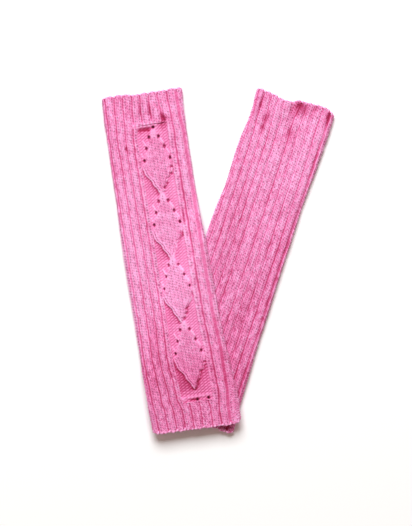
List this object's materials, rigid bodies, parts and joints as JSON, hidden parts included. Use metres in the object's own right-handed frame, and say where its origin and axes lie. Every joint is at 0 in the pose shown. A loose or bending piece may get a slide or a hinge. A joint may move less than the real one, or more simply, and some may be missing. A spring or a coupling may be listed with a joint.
{
  "type": "pair of leg warmers",
  "caption": "Hand-knitted ribbed leg warmers with a leaf lace panel, lying flat in a V, one across the other's lower end.",
  "frame": {"origin": "under the middle of the pair's outline, on the surface that it lies on", "axes": "+Y towards the two top mouths, at the open end of the V; +Z up, out of the surface; +X to the right as seen from above with +Y up"},
  "size_m": [0.2782, 0.4154, 0.0175],
  "materials": {
    "pink_rib_knit": "matt, softly haired wool rib",
    "pink_lace_knit": "matt, softly haired wool lace"
  },
  "bodies": {
    "root": {"front_leg_tube": "pink_rib_knit", "front_leg_lace_panel": "pink_lace_knit", "rear_leg_tube": "pink_rib_knit", "rear_leg_lace_panel": "pink_lace_knit"}
  },
  "joints": []
}
